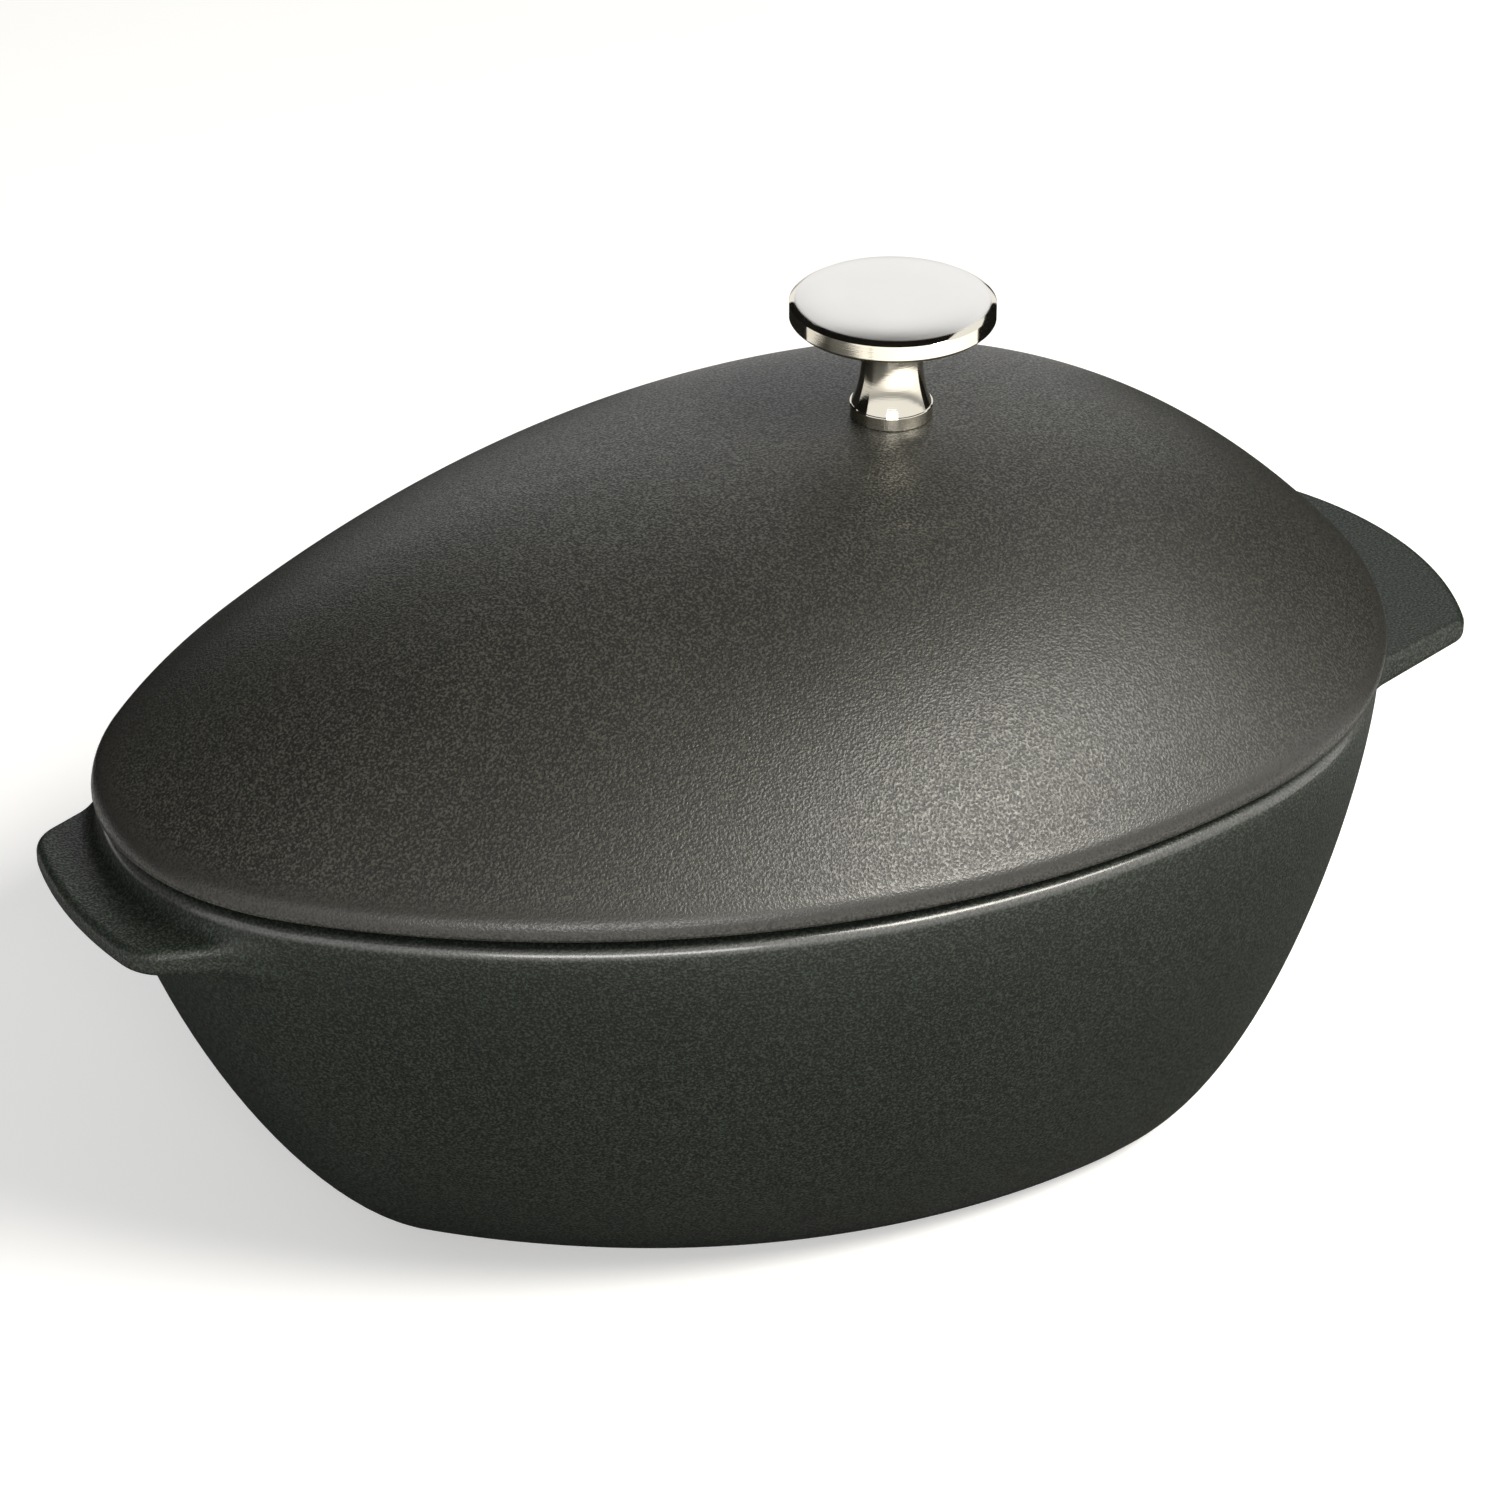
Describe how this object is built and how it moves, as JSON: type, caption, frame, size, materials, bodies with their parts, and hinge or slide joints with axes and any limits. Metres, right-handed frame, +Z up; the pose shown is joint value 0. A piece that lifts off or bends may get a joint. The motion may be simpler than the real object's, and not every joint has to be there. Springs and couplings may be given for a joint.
{
  "type": "mussel pot",
  "caption": "Egg-shaped cast-iron mussel pot with slab handles, a domed lift-off lid with a turned metal knob, and a perforated strainer inside.",
  "frame": {"origin": "on the table plane under the pot, midway between the tips of the two handles", "axes": "+X along the pot's length towards its fuller end, +Y across it, +Z up"},
  "size_m": [0.2838, 0.1806, 0.169],
  "materials": {
    "enamelled_iron": "matte",
    "nickel": "satin",
    "screw_steel": "satin",
    "strainer_steel": "satin"
  },
  "bodies": {
    "pot": {"pot_body": "enamelled_iron"},
    "lid_with_knob": {"lid": "enamelled_iron", "knob": "nickel", "knob_screw": "screw_steel", "plain_washer": "screw_steel", "lock_washer": "screw_steel"},
    "strainer": {"strainer_insert": "strainer_steel"}
  },
  "joints": [
    {"name": "lid_lift", "type": "slide", "parent": "pot", "child": "lid_with_knob", "axis": [0, 0, 1], "range_m": [0, 0.12]},
    {"name": "strainer_lift", "type": "slide", "parent": "pot", "child": "strainer", "axis": [0, 0, 1], "range_m": [0, 0.072]}
  ],
  "couplings": [
    {"joint": "strainer_lift", "follows": "lid_lift", "ratio": 0.6}
  ]
}
